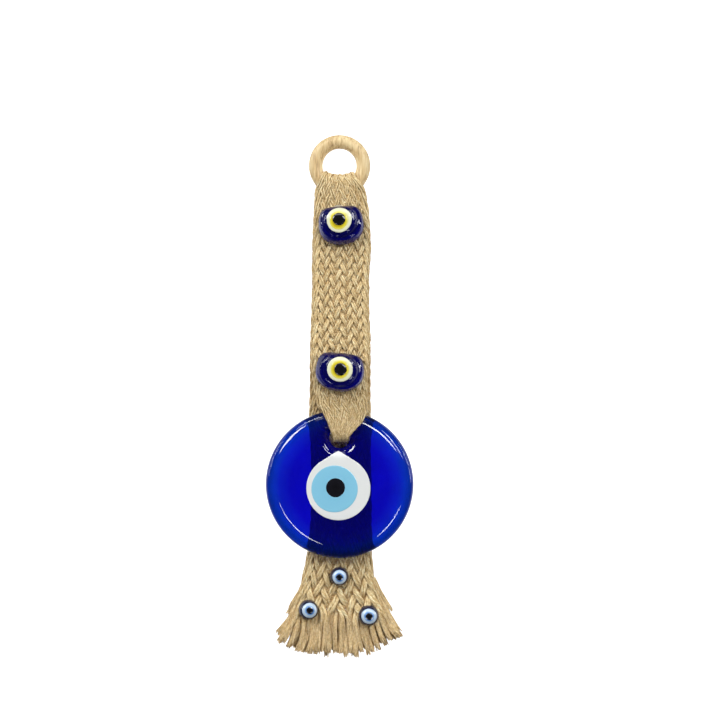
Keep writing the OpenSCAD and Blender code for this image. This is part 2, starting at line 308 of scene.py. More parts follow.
def sheet_grid(rows, cols, wrap_rows=False):
    """Quads between rows of vertices that each close on themselves."""
    faces, corners = [], []
    last = rows if wrap_rows else rows - 1
    for j in range(last):
        k = (j + 1) % rows
        for i in range(cols):
            n = (i + 1) % cols
            faces.append((j * cols + i, j * cols + n, k * cols + n, k * cols + i))
            corners += [(j, i), (j, i + 1), (j + 1, i + 1), (j + 1, i)]
    return faces, corners


# ---------------------------------------------------------------- the braid's path

TUCK_Y, REAR_Y, FRONT_Y, JOIN_Y = 4.4, 7.4, -4.5, -1.2
LIFT_Z = SEAT_Z + 1.25
ARC = 4.5
PATH = (
    [(TUCK_Y, -102.6), (TUCK_Y, -106.0), (TUCK_Y, -110.0), (TUCK_Y, -113.0)]
    + [(3.6, -116.0), (1.8, -117.4), (0.0, -117.8), (-1.9, -117.6), (-3.6, -116.6), (-4.4, -114.4)]
    + [(FRONT_Y, z) for z in (-110.0, -104.0, -98.0, -90.0, -80.0, -70.0, -60.0, -50.0, -40.0, -30.0, -22.0)]
    + [(-ARC * math.cos(a), LIFT_Z + ARC * math.sin(a)) for a in (math.pi * i / 8 for i in range(9))]
    + [(ARC, -20.5), (3.4, -28.0), (0.4, -37.0), (JOIN_Y, -43.0), (JOIN_Y, -52.0), (JOIN_Y, -62.0)]
    + [(JOIN_Y, -72.0), (JOIN_Y, -79.0), (1.2, -86.0), (5.0, -93.5), (REAR_Y - 0.2, -99.5)]
    + [(REAR_Y, z) for z in (-106.0, -118.0, -130.0, -142.0, -154.0, -166.0, -178.0, -190.0, -202.0)]
)


def catmull(points, per=24):
    """A smooth curve through all the points."""
    p = np.array(points, float)
    p = np.vstack([2 * p[0] - p[1], p, 2 * p[-1] - p[-2]])
    out = []
    for i in range(1, len(p) - 2):
        a, b, c, d = p[i - 1], p[i], p[i + 1], p[i + 2]
        for t in np.linspace(0, 1, per, endpoint=False):
            out.append(0.5 * (2 * b + (c - a) * t + (2 * a - 5 * b + 4 * c - d) * t * t
                              + (3 * b - a - 3 * c + d) * t ** 3))
    out.append(p[-2])
    return np.array(out)


fine_points = catmull(PATH)
fine_run = np.concatenate([[0], np.cumsum(np.hypot(*np.diff(fine_points, axis=0).T))])
run_s = np.arange(0, fine_run[-1], 0.2)
run_y = np.interp(run_s, fine_run, fine_points[:, 0])
run_z = np.interp(run_s, fine_run, fine_points[:, 1])
run_ty, run_tz = np.gradient(run_y, run_s), np.gradient(run_z, run_s)
run_rate = np.hypot(run_ty, run_tz)
run_ty, run_tz = run_ty / run_rate, run_tz / run_rate
S_TOP = run_s[np.argmax(run_z)]
S_NECK = 22.0             # the front run starts past the bend through the hole


def at_front(z):
    """Arc length where the front run passes height z."""
    part = (run_s > S_NECK) & (run_s < S_TOP)
    return float(np.interp(z, run_z[part], run_s[part]))


def at_rear(z):
    """Arc length where the rear run passes height z."""
    part = run_s > S_TOP
    return float(np.interp(-z, -run_z[part], run_s[part]))


def path(s):
    """Y and Z of the middle of the braid at arc lengths s, and Y and Z of its outward normal."""
    s = np.clip(s, 0, run_s[-1])
    y, z = np.interp(s, run_s, run_y), np.interp(s, run_s, run_z)
    ty, tz = np.interp(s, run_s, run_ty), np.interp(s, run_s, run_tz)
    return y, z, -tz, ty


# Left and right edges of the braid along its length
EDGES = (
    [(0.0, -4.6, 4.6), (8.0, -4.4, 4.5), (12.5, -3.4, 3.9), (15.5, -2.5, 3.3)]
    + [(at_front(z), a, b) for z, a, b in (
        (-116.2, -2.7, 3.8), (-114.8, -3.1, 5.0), (-112.7, -4.0, 6.9), (-110.6, -4.8, 8.8),
        (-108.0, -5.9, 10.5), (-105.6, -7.3, 11.4), (-102.3, -9.3, 11.6), (-99.0, -10.1, 11.6), (-95.7, -10.6, 11.6),
        (-89.0, -11.6, 12.4), (-79.0, -11.9, 12.8), (-69.3, -11.5, 12.3), (-59.6, -11.1, 11.9),
        (-50.0, -11.1, 12.3), (-40.3, -10.7, 12.9), (-33.0, -10.4, 12.7), (-26.0, -10.4, 12.1),
        (-21.0, -10.3, 11.2), (-17.5, -9.9, 10.6), (-15.0, -9.0, 9.2))]
    + [(S_TOP - 3.6, -7.4, 6.6), (S_TOP, -6.3, 5.9), (S_TOP + 3.6, -7.2, 7.0)]
    + [(at_rear(z), a, b) for z, a, b in (
        (-15.0, -9.0, 9.3), (-18.0, -10.0, 10.5), (-26.0, -10.8, 11.7), (-42.0, -11.3, 12.2),
        (-60.0, -11.4, 12.2), (-80.0, -12.2, 12.8), (-96.0, -12.5, 12.9), (-105.0, -12.8, 12.9),
        (-120.0, -12.2, 12.9), (-137.0, -11.9, 13.2), (-158.0, -12.6, 13.2), (-166.0, -13.9, 13.6),
        (-175.0, -15.9, 14.6), (-183.0, -18.3, 16.6), (-190.0, -20.4, 19.2), (-202.0, -23.0, 22.5))]
)
edge_s, edge_left, edge_right = (np.array([e[i] for e in EDGES]) for i in range(3))


def smooth_table(s, keys, values):
    """Piecewise cubic through the table, with no overshoot."""
    h = np.diff(keys)
    d = np.diff(values) / h
    m = np.zeros(len(keys))
    for i in range(1, len(keys) - 1):
        if d[i - 1] * d[i] > 0:
            w1, w2 = 2 * h[i] + h[i - 1], h[i] + 2 * h[i - 1]
            m[i] = (w1 + w2) / (w1 / d[i - 1] + w2 / d[i])
    m[0], m[-1] = d[0], d[-1]
    s = np.clip(s, keys[0], keys[-1])
    i = np.clip(np.searchsorted(keys, s, side="right") - 1, 0, len(h) - 1)
    t = (s - keys[i]) / h[i]
    return ((2 * t ** 3 - 3 * t ** 2 + 1) * values[i] + (t ** 3 - 2 * t ** 2 + t) * h[i] * m[i]
            + (-2 * t ** 3 + 3 * t ** 2) * values[i + 1] + (t ** 3 - t ** 2) * h[i] * m[i + 1])


STRANDS = 23              # doubled strands in the braid
COLUMNS = 10              # the outer two hold three crossings each, the others two
PERIOD = 116.0            # length over which a strand crosses to the far edge and back
YARN_R = 0.53
SPREAD = 0.12             # how much further apart the yarns lie where the band is gathered
YARN_GAP = 0.40           # half the distance between a strand's two yarns
DEPTH = 1.02              # how far a float stands out from the middle of the braid
FULL_W = 24.0             # width at which the yarns have their full size
SHARP = 0.985             # below 1, this rounds a strand's turn at the edge
EASE = 0.34               # how much steeper a strand runs near the edges than in the middle
rng = random.Random(11)
TAIL_S = at_rear(-154.0)
NECK_MIDDLE = at_front(-112.0)
WAVES = [[(rng.uniform(0, math.tau), rng.uniform(3.2, 6.5)) for _ in range(6)] for _ in range(STRANDS * 2)]


def wave(y, s, first):
    """A slow irregular offset along yarn y, between about -1 and 1."""
    (a, p), (b, q) = WAVES[y][first], WAVES[y][first + 1]
    return 0.6 * np.sin(s / p + a) + 0.4 * np.sin(s / (0.47 * q) + b)


def strand(k, s):
    """Strand k at arc lengths s: its place across the band, its height off the middle of the band, its size, how
    far over (or under) the others it lies and how gathered the band is.
    """
    loosened = 0.28 * np.maximum(s - TAIL_S, 0) * smoothstep(0, 14, s - TAIL_S)
    t = np.mod((s - loosened) / PERIOD + k / STRANDS, 1.0)
    u = 0.5 - np.arcsin(SHARP * np.cos(math.tau * t)) / (2 * math.asin(SHARP))
    u = u + EASE * (0.5 - 0.5 * np.cos(math.tau * t) - u)
    over = np.where(t < 0.5, 1.0, -1.0)
    crossing = STRANDS * np.where(t < 0.5, 2 * t, 2 - 2 * t)
    column = np.interp(crossing, [0.5, 3.5, STRANDS - 3.5, STRANDS - 0.5], [0, 1, COLUMNS - 1, COLUMNS])
    lobe = np.sin(column * math.pi)
    left, right = smooth_table(s, edge_s, edge_left), smooth_table(s, edge_s, edge_right)
    width = right - left
    size = np.maximum(width / FULL_W, 0.36)
    margin = 1.0 * size
    x = left + margin + u * (width - 2 * margin)
    at_ring = np.exp(-((s - S_TOP) / 14.0) ** 4)
    bunch = 1 + (0.9 - 1.5 * at_ring) * (1 - smoothstep(6.5, 20.0, width))
    by_ring = np.exp(-((np.abs(s - S_TOP) - 9.0) / 11.0) ** 2)
    by_hole = np.exp(-((s - NECK_MIDDLE) / 13.0) ** 4)
    gathered = by_ring + 1.3 * by_hole
    d = over * np.sign(lobe) * np.abs(lobe) ** 0.70 * DEPTH * size ** 0.6 * bunch * (1 - 0.35 * gathered)
    # bunched over the ring, the edges ride up its curve
    near_top = np.exp(-((s - S_TOP) / 6.0) ** 2)
    d = d + near_top * 2.0 * np.clip((np.abs(x) - 1.0) / 6.0, 0, 1) ** 2
    return x, d, size, over * lobe, gathered


def yarn_line(k, side, s):
    """Points of one yarn: strand k's left or right yarn."""
    e = 0.2
    x0, x1 = strand(k, s - e)[0], strand(k, s + e)[0]
    x, d, size, lobe, gathered = strand(k, s)
    slope = (x1 - x0) / (2 * e)
    norm = np.hypot(slope, 1)
    y = 2 * k + (side > 0)
    off = side * (YARN_GAP + SPREAD * gathered) * size ** 0.9
    x = x + off / norm + 0.10 * wave(y, s, 0) * size
    s2 = s - off * slope / norm
    d = d + 0.07 * wave(y, s, 2) + 0.06 * side * wave(2 * k, s, 4)
    py, pz, ny, nz = path(s2)
    pts = np.stack([x, py + ny * d, pz + nz * d], 1)
    normals = np.stack([np.zeros_like(ny), ny, nz], 1)
    r = YARN_R * np.where(size < 1, size ** 0.5, size ** 1.15) * (0.88 + 0.18 * np.abs(lobe))
    r = r * (1 + 0.10 * wave(y, s, 4)) * (1 - 0.12 * gathered)
    return pts, normals, r


def tube(pts, normals, r, v0, sides, flat):
    """A tube along pts. Returns its vertices, faces and corner UVs; V is in mm along it."""
    pts = np.asarray(pts, float)
    n = len(pts)
    t = np.gradient(pts, axis=0)
    t /= np.linalg.norm(t, axis=1)[:, None]
    b = np.cross(t, normals)
    b /= np.linalg.norm(b, axis=1)[:, None]
    nn = np.cross(b, t)
    a = np.linspace(0, math.tau, sides, endpoint=False)
    r = np.broadcast_to(np.asarray(r, float), (n,))
    flat = np.broadcast_to(np.asarray(flat, float), (n,))
    ring = (pts[:, None] + (r * flat)[:, None, None] * np.cos(a)[None, :, None] * nn[:, None]
            + r[:, None, None] * np.sin(a)[None, :, None] * b[:, None])
    v = v0 + np.concatenate([[0], np.cumsum(np.linalg.norm(np.diff(pts, axis=0), axis=1))])
    i, j = np.meshgrid(np.arange(n - 1), np.arange(sides), indexing="ij")
    i, j = i.ravel(), j.ravel()
    jn = (j + 1) % sides
    faces = np.stack([i * sides + j, i * sides + jn, (i + 1) * sides + jn, (i + 1) * sides + j], 1)
    u0, u1 = j / sides, (j + 1) / sides
    uv = np.stack([np.stack([u0, v[i]], 1), np.stack([u1, v[i]], 1),
                   np.stack([u1, v[i + 1]], 1), np.stack([u0, v[i + 1]], 1)], 1)
    return ring.reshape(-1, 3), faces, uv, v[-1]


def core_line(s):
    """The middle of the braid, with half its width less the edge strands."""
    left, right = smooth_table(s, edge_s, edge_left), smooth_table(s, edge_s, edge_right)
    y, z, ny, nz = path(s)
    pts = np.stack([(left + right) / 2, y, z], 1)
    return pts, np.stack([np.zeros_like(ny), ny, nz], 1), np.maximum((right - left) / 2 - 2.2, 0.6)


class Bundle:
    """Collects tubes into one mesh."""

    def __init__(self):
        self.verts, self.faces, self.uvs, self.count = [], [], [], 0
        self.caps, self.cap_uvs = [], []

    def add(self, pts, normals, r, v0=0.0, sides=8, flat=1.0, caps=(False, False)):
        v, f, uv, end = tube(pts, normals, r, v0, sides, flat)
        self.verts.append(v)
        self.faces.append(f + self.count)
        self.uvs.append(uv.reshape(-1, 2))
        if caps[0]:
            self.caps.append([self.count + i for i in reversed(range(sides))])
            self.cap_uvs += [(i / sides, v0) for i in range(sides)]
        if caps[1]:
            self.caps.append([self.count + len(v) - sides + i for i in range(sides)])
            self.cap_uvs += [(i / sides, end) for i in range(sides)]
        self.count += len(v)

    def build(self, name, material):
        faces = [tuple(f) for f in np.concatenate(self.faces)] + [tuple(c) for c in self.caps]
        uvs = np.concatenate(self.uvs + ([np.array(self.cap_uvs, float)] if self.cap_uvs else []))
        return mesh_object(name, np.concatenate(self.verts), faces, uvs, material)


# Where the braid is cut into pieces: each crosses one joint at most
DS = 0.7                  # length of a yarn's segment
GRID = np.arange(0.0, at_rear(-192.0), DS)


def cut(s):
    """Number of the grid point nearest to arc length s."""
    return int(round(s / DS))


CUTS = {
    "neck": (0, cut(at_front(-80.0))),
    "front_mid": (cut(at_front(-80.0)), cut(at_front(-40.0))),
    "top": (cut(at_front(-40.0)), cut(at_rear(-40.0))),
    "rear_mid": (cut(at_rear(-40.0)), cut(at_rear(-80.0))),
    "rear_low": (cut(at_rear(-80.0)), cut(at_rear(-150.0))),
}
TAIL_FROM = cut(at_rear(-150.0))
CORE_HALF_T = 0.28        # half the thickness of the band that fills the braid's middle
# height at which each yarn comes loose
LOOSE = [[rng.uniform(-190.5, -186.0) for _ in range(2)] for _ in range(STRANDS)]


def build_braid():
    """The yarns in their pieces, and the end of each yarn: number, last points, normal, radius, length so far."""
    bundles = {name: Bundle() for name in (*CUTS, "tail")}
    ends = []
    for name, (a, b) in {**CUTS, "tail": (TAIL_FROM, cut(at_rear(-186.0)))}.items():
        pts, normals, half = core_line(GRID[a:b + 1])
        bundles[name].add(pts, normals, half, 40.0, sides=16, flat=CORE_HALF_T / half)
    for k in range(STRANDS):
        for side in (-1, 1):
            y = 2 * k + (side > 0)
            v0 = 137.0 * y
            for name, (a, b) in CUTS.items():
                s = GRID[a:b + 1]
                pts, normals, r = yarn_line(k, side, s)
                bundles[name].add(pts, normals, r, v0 + s[0], caps=(a == 0, False))
            stop = cut(at_rear(LOOSE[k][side > 0]))
            s = GRID[TAIL_FROM:stop + 1]
            pts, normals, r = yarn_line(k, side, s)
            bundles["tail"].add(pts, normals, r, v0 + s[0])
            ends.append((y, pts[-3:], normals[-1], r[-1], v0 + s[-1]))
    return bundles, ends


# ---------------------------------------------------------------- fringe


def fringe_line(p, d, x_end, y_end, z_end, rnd):
    """A loose yarn from where the braid lets it go to its cut end."""
    end = np.array([x_end, y_end, z_end])
    fan = math.radians(36.0) * x_end / 25.0 + math.radians(rnd.uniform(-7, 7))
    out = np.array([math.sin(fan), rnd.uniform(-0.10, 0.05), -math.cos(fan)])
    gap = np.linalg.norm(end - p)
    steps = max(6, int(gap / 0.7))
    t = np.linspace(0, 1, steps + 1)[:, None]
    return ((2 * t ** 3 - 3 * t ** 2 + 1) * p + (t ** 3 - 2 * t ** 2 + t) * d * gap * 0.6
            + (-2 * t ** 3 + 3 * t ** 2) * end + (t ** 3 - t ** 2) * out * gap)


def add_frayed(b, line, normal, r, v, rnd, thick, fibres):
    """A yarn that opens into a brush of fibres."""
    n = len(line)
    t = np.linspace(0, 1, n)
    normals = np.repeat(normal[None], n, 0)
    puff = r + (thick - r) * smoothstep(0.05, 0.85, t)
    b.add(line, normals, puff * 0.90 * (1 - 0.5 * smoothstep(0.84, 1.0, t)), v, sides=8,
          flat=1 - 0.18 * smoothstep(0.0, 0.8, t), caps=(False, True))
    tangent = line[-1] - line[-3]
    tangent /= np.linalg.norm(tangent)
    side_dir = np.cross(tangent, normal)
    for f in range(fibres):
        a = math.tau * (f + rnd.uniform(-0.4, 0.4)) / fibres
        rad = rnd.uniform(0.86, 1.06)
        start = rnd.randint(0, max(1, int(n * 0.35)))
        turn = a + 0.07 * np.arange(start, n) + rnd.uniform(-0.3, 0.3) * np.linspace(0, 1, n - start) ** 2
        seg = (line[start:] + (np.cos(turn) * puff[start:] * rad)[:, None] * side_dir[None]
               + (np.sin(turn) * puff[start:] * rad * 0.82)[:, None] * normal[None])
        extra = rnd.uniform(-0.5, 0.9)
        if extra > 0.15:
            away = math.cos(turn[-1]) * side_dir + math.sin(turn[-1]) * normal
            out = tangent + away * rnd.uniform(-0.25, 0.2)
            seg = np.vstack([seg, [seg[-1] + out * extra * q for q in (0.5, 1.0)]])
        elif len(seg) > 5:
            seg = seg[:-1]
        b.add(seg, np.repeat(normal[None], len(seg), 0), rnd.uniform(0.11, 0.20), v + 11.0 * f, sides=4,
              caps=(True, True))


FRINGE_LEFT, FRINGE_RIGHT = -26.4, 25.6
# x and z where each short side end starts, and x, z and y where it stops
SIDE_ENDS = [(-15.2, -178.0, -21.0, -188.8, 7.6), (-14.6, -176.5, -20.2, -186.2, 6.9),
             (14.2, -174.5, 20.9, -187.6, 7.2), (13.8, -176.5, 19.6, -189.0, 7.6)]


def fringe_foot(x):
    """How far down the loose ends reach at x."""
    return -205.4 + 7.6 * min(1.3, abs(x + 1.5) / 25.0) ** 2.6


def build_fringe(ends):
    """The loose ends keep their order across the tail and lie in three layers."""
    b = Bundle()
    rnd = random.Random(23)
    order = sorted(ends, key=lambda e: e[1][-1][0] + 0.3 * (e[1][-1][0] - e[1][0][0]))
    n = len(order)
    for rank, (_, tail, normal, r, v) in enumerate(order):
        p, d = tail[-1], tail[-1] - tail[0]
        d = d / np.linalg.norm(d)
        front = rank % 2 == 1
        x_end = FRINGE_LEFT + (FRINGE_RIGHT - FRINGE_LEFT) * (rank + 0.5) / n + rnd.uniform(-0.5, 0.5)
        z_end = fringe_foot(x_end) + rnd.uniform(-1.3, 1.8)
        y_end = rnd.uniform(4.9, 6.2) if front else rnd.uniform(7.6, 8.6)
        line = fringe_line(p, d, x_end, y_end, z_end, rnd)
        add_frayed(b, line, normal, r, v, rnd, rnd.uniform(0.84, 1.00), fibres=21)
    back = np.array([0.0, 1.0, 0.0])
    for i in range(25):
        x = -24.5 + 49.0 * i / 24
        start, lead = np.array([x * 0.72, 7.1, -184.5]), np.array([x * 0.02, 0.0, -1.0])
        x_end = x + rnd.uniform(-0.4, 0.4)
        line = fringe_line(start, lead, x_end, 7.1, fringe_foot(x) + rnd.uniform(0.4, 2.8), rnd)
        add_frayed(b, line, back, 0.6, 900.0 + 31 * i, rnd, rnd.uniform(0.95, 1.15), fibres=14)
    # short ends that have worked out of the sides
    for x, z, x_end, z_end, y_end in SIDE_ENDS:
        start, lead = np.array([x, 7.2, z]), np.array([math.copysign(0.35, x), 0.0, -0.94])
        line = fringe_line(start, lead, x_end, y_end, z_end, rnd)
        add_frayed(b, line, back, 0.5, 30.0 * z_end, rnd, 0.78, fibres=18)
    return b


# ---------------------------------------------------------------- fuzz


def build_fuzz(spans, count, seed):
    """Stray fibres that stand off the yarns."""
    b = Bundle()
    rnd = random.Random(seed)
    np_rng = np.random.RandomState(seed)
    for _ in range(count):
        a, c = spans[rnd.randrange(len(spans))]
        s = rnd.uniform(a, c)
        k, side = rnd.randrange(STRANDS), rnd.choice((-1, 1))
        pts, normals, r = yarn_line(k, side, np.array([s - 0.5, s, s + 0.5]))
        t = pts[2] - pts[0]
        t /= np.linalg.norm(t)
        n = normals[1]
        bi = np.cross(t, n)
        ang = rnd.uniform(0, math.tau)
        out = math.cos(ang) * n + math.sin(ang) * bi
        p = pts[1] + out * r[1] * 0.9
        d = t * rnd.choice((-1, 1)) * rnd.uniform(0.7, 1.0) + out * rnd.uniform(0.1, 0.9)
        d /= np.linalg.norm(d)
        bend = np_rng.normal(0, 0.10, 3)
        length = rnd.uniform(0.8, 3.2)
        steps = 5
        line = [p]
        for _i in range(steps):
            p = p + d * length / steps
            d = d + bend
            d /= np.linalg.norm(d)
            line.append(p)
        line = np.array(line)
        rr = rnd.uniform(0.028, 0.055) * np.linspace(1, 0.5, steps + 1)
        b.add(line, np.repeat(out[None], steps + 1, 0), rr, rnd.uniform(0, 500), sides=3, caps=(True, True))
    return b


bundles, yarn_ends = build_braid()
jute = {name: bundle.build("jute_" + name, JUTE) for name, bundle in bundles.items()}
fringe = build_fringe(yarn_ends).build("jute_fringe", JUTE_FRINGE)

# The bodies that a piece joins, and the heights between which it passes from one to the other; below, only which
# pieces are listed is read
BLENDS = {
    "top": ("loop", "upper", -14.0, -25.0),
    "front_mid": ("upper", "lower", -54.0, -66.0),
    "rear_mid": ("upper", "lower", -54.0, -66.0),
    "neck": ("lower", "neck", -96.5, -102.0),
    "tail": ("lower", "tail", -164.0, -172.0),
}
STANDS_FOR = {
    "top": ("braid_loop", "braid_front_upper", "braid_rear_upper"),
    "front_mid": ("braid_front_lower",),
    "neck": ("braid_neck",),
    "rear_low": ("braid_rear_lower",),
    "tail": ("braid_tail",),
}
# The lengths that carry stray fibres, and how many fibres
FUZZ = {
    "top": ([(at_front(-40.0), at_rear(-40.0))], 900),
    "front_mid": ([(at_front(-80.0), at_front(-40.0))], 900),
    "rear_mid": ([(at_rear(-40.0), at_rear(-80.0))], 500),
    "neck": ([(at_front(-116.0), at_front(-80.0))], 1300),
    "rear_low": ([(at_rear(-80.0), at_rear(-112.0))], 420),
    "tail": ([(at_rear(-160.0), at_rear(-184.0))], 800),
}


def hang(piece, name):
    """Bakes the transform of a piece of the braid that crosses a hinge into its mesh and leaves it unattached; the
    one piece that crosses none rides on the lower run.
    """
    if name in BLENDS:
        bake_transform(piece)
    else:
        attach(piece, "lower")


for name, piece in jute.items():
    hang(piece, name)
    if name in STANDS_FOR:
        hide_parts(*STANDS_FOR[name])
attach(fringe, "tail")
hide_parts("fringe_cords")
for i, (name, (spans, count)) in enumerate(FUZZ.items()):
    hang(build_fuzz(spans, count, 100 + i).build("fuzz_" + name, JUTE_FRINGE), name)

# ---------------------------------------------------------------- wooden ring


def build_ring():
    """A torus that is a little out of round, as a turned ring is."""
    major, minor = 220, 72
    verts = []
    for i in range(major):
        a = math.tau * i / major
        for j in range(minor):
            b = math.tau * j / minor
            r = RING_SECTION * (1 - 0.006 * (1 + math.sin(3 * a + 1)) - 0.004 * (1 + math.sin(5 * b + 2 * a)))
            q = RING_R + r * math.cos(b)
            verts.append((q * math.sin(a), r * math.sin(b), RING_Z + q * math.cos(a)))
    faces, corners = sheet_grid(major, minor, wrap_rows=True)
    faces = [tuple(reversed(f)) for f in faces]
    uvs = []
    for q in range(0, len(corners), 4):
        uvs += [(i / minor, j / major) for j, i in reversed(corners[q:q + 4])]
    return mesh_object("ring_wood", verts, faces, uvs, WOOD)


ring = build_ring()
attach(ring, "ring")
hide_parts("wood_ring")

# ---------------------------------------------------------------- glass disc

EDGE_FROM, EDGE_POWER, EDGE_FALL = 20.5, 2.25, 4.3
FLARE_R, FLARE_FRONT, FLARE_BACK = 8.3, 2.2, 1.2


def disc_front(x, z):
    """Y of the disc's front: flat, falling away to a rounded rim, and dished around the hole."""
    r = np.hypot(x, z - DISC_Z)
    t = np.clip((r - EDGE_FROM) / (DISC_R - EDGE_FROM), 0, 1)
    fall = EDGE_FALL * (1 - (1 - t ** EDGE_POWER) ** (1 / EDGE_POWER))
    rho = np.hypot(x, z - HOLE_Z)
    return DISC_FRONT + fall + FLARE_FRONT * np.clip((FLARE_R - rho) / (FLARE_R - HOLE_R), 0, 1.05) ** 1.6


def disc_back(x, z):
    """Y of the disc's back: flat, and dished less around the hole."""
    rho = np.hypot(x, z - HOLE_Z)
    return DISC_BACK - FLARE_BACK * (1 - smoothstep(HOLE_R - 0.6, FLARE_R - 1, rho))


def build_disc():
    """Rings of vertices: out from the hole over the front, round the rim and back over the rear to the hole."""
    cols = 216
    rows = []          # centre z, radius, and which surface gives y
    for q in np.linspace(0, 1, 4)[1:]:
        rows.append((HOLE_Z, HOLE_R, ("wall", -q)))
    for rho in np.linspace(HOLE_R, FLARE_R, 30)[1:]:
        rows.append((HOLE_Z, rho, "front"))
    reach = 27.4
    for q in np.linspace(0, 1, 20)[1:]:
        rows.append((HOLE_Z + (DISC_Z - HOLE_Z) * q, FLARE_R + (reach - FLARE_R) * q, "front"))
    start = math.asin(((reach - EDGE_FROM) / (DISC_R - EDGE_FROM)) ** (EDGE_POWER / 2))
    for a in np.linspace(start, math.pi / 2, 16)[1:]:
        rows.append((DISC_Z, EDGE_FROM + (DISC_R - EDGE_FROM) * math.sin(a) ** (2 / EDGE_POWER),
                     ("edge", DISC_FRONT + EDGE_FALL * (1 - math.cos(a) ** (2 / EDGE_POWER)))))
    foot_r, foot_y = 1.5, DISC_BACK - (DISC_FRONT + EDGE_FALL)
    for a in np.linspace(0, math.pi / 2, 9)[1:]:
        rows.append((DISC_Z, DISC_R - foot_r + foot_r * math.cos(a),
                     ("edge", DISC_BACK - foot_y + foot_y * math.sin(a))))
    for q in np.linspace(0, 1, 14)[1:]:
        rows.append((DISC_Z + (HOLE_Z - DISC_Z) * q,
                     (DISC_R - foot_r) + (FLARE_R - DISC_R + foot_r) * q, "back"))
    for rho in np.linspace(FLARE_R, HOLE_R, 12)[1:]:
        rows.append((HOLE_Z, rho, "back"))
    for q in np.linspace(1, 0, 4)[1:]:
        rows.append((HOLE_Z, HOLE_R, ("wall", q)))
    a = np.linspace(0, math.tau, cols, endpoint=False)
    verts = []
    for cz, r, kind in rows:
        x = r * np.sin(a)
        z = cz + r * np.cos(a)
        if kind == "front":
            y = disc_front(x, z)
        elif kind == "back":
            y = disc_back(x, z)
        elif kind[0] == "edge":
            y = np.full(cols, kind[1])
        else:
            f, b = disc_front(x, z), disc_back(x, z)
            mid = (f + b) / 2
            y = mid + kind[1] * (b - mid) if kind[1] > 0 else mid + kind[1] * (mid - f)
        verts.append(np.stack([x, y, z], 1))
    verts = np.concatenate(verts)
    faces, corners = sheet_grid(len(rows), cols, wrap_rows=True)
    uvs = [(i / cols, j / len(rows)) for j, i in corners]
    return mesh_object("disc_cobalt", verts, faces, uvs, COBALT)


disc = build_disc()
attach(disc, "disc")
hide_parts("disc_glass")

# ---------------------------------------------------------------- poured eyes and beads

SKIN = 0.01               # keeps two poured layers from sharing a surface


def dome_object(name, rows, us, front, back, material):
    """Rings of vertices between a front middle point and a back one, closed at both; us has each ring's U."""
    cols = len(rows[0])
    n, last = len(rows) * cols, (len(rows) - 1) * cols
    faces, corners = sheet_grid(len(rows), cols)
    uvs = [(us[j], i / cols) for j, i in corners]
    for i in range(cols):
        k = (i + 1) % cols
        faces.append((n, k, i))
        uvs += [(0, i / cols), (us[0], (i + 1) / cols), (us[0], i / cols)]
        faces.append((n + 1, last + i, last + k))
        uvs += [(0, i / cols), (1, i / cols), (1, (i + 1) / cols)]
    return mesh_object(name, np.vstack([*rows, [front], [back]]), faces, uvs, material)


def eye_layer(name, material, at, outline, surface, proud, sink, body, cad, cols=96, rows=14, lip=0.18):
    """One poured layer: a lens that follows surface(x, z), stands proud of it and goes in by sink."""
    a = np.linspace(0, math.tau, cols, endpoint=False)
    R = outline(a)
    verts, us = [], []
    for q in [1 - (1 - q) ** 1.6 for q in np.linspace(0, 1, rows)[1:]]:
        x, z = at[0] + R * q * np.sin(a), at[1] + R * q * np.cos(a)
        edge = np.clip((1 - q) * R / lip, 0, 1)
        y = surface(x, z) - proud * np.sqrt(1 - (1 - edge) ** 2) - SKIN
        verts.append(np.stack([x, y, z], 1))
        us.append(q)
    x, z = at[0] + R * np.sin(a), at[1] + R * np.cos(a)
    verts.append(np.stack([x, surface(x, z) + sink, z], 1))
    us.append(1.0)
    middle = surface(np.array([at[0]]), np.array([at[1]]))[0]
    front, back = (at[0], middle - proud - SKIN, at[1]), (at[0], middle + sink, at[1])
    o = dome_object(name, verts, us, front, back, material)
    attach(o, body)
    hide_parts(cad)


def round_outline(r, wobble, seed):
    """A circle that is slightly out of round."""
    return lambda a: r * (1 + wobble * (np.sin(2 * a + seed) + 0.5 * np.sin(3 * a + 2.1 * seed + 1)))


WHITE_AT, WHITE_R, WHITE_TIP = (-0.45, -137.15), 12.9, 15.2
IRIS_AT, IRIS_R = (-2.0, -137.4), 9.4
PUPIL_AT, PUPIL_R = (-1.6, -136.9), 3.85


def drop_outline(a):
    """A circle drawn up to a soft tip."""
    a = np.mod(a + math.pi, math.tau) - math.pi
    touch = math.acos(WHITE_R / WHITE_TIP)
    inside = np.abs(a) < touch
    line = WHITE_R / np.cos(touch - np.abs(a))
    soft = 1 - 0.012 * np.exp(-(a / 0.05) ** 2)
    return np.where(inside, line, WHITE_R) * soft


eye_layer("eye_white", WHITE, WHITE_AT, drop_outline, disc_front, 0.10, 1.3, "disc",
          "disc_eye_white", cols=240, rows=18)


def raised(surface, by):
    """The surface, moved to the front."""
    return lambda x, z: surface(x, z) - by


eye_layer("eye_iris", SKY, IRIS_AT, round_outline(IRIS_R, 0.004, 1.0), raised(disc_front, 0.10), 0.07, 1.0,
          "disc", "disc_eye_blue", cols=160)
eye_layer("eye_pupil", BLACK, PUPIL_AT, round_outline(PUPIL_R, 0.006, 2.0), raised(disc_front, 0.17), 0.07, 0.4,
          "disc", "disc_eye_pupil", cols=120)


def rotated(x, z, at, lean):
    """x and z as seen from a point, in axes that lean."""
    c, s = math.cos(lean), math.sin(lean)
    dx, dz = x - at[0], z - at[1]
    return dx * c + dz * s, -dx * s + dz * c


# Beads: y of the back edge, height of the dome, and the mound under the eye
BEAD_Y, BEAD_HEIGHT = -6.6, 6.4
MOUND_X, MOUND_Z, MOUND_RISE = 6.7, 5.9, 0.75
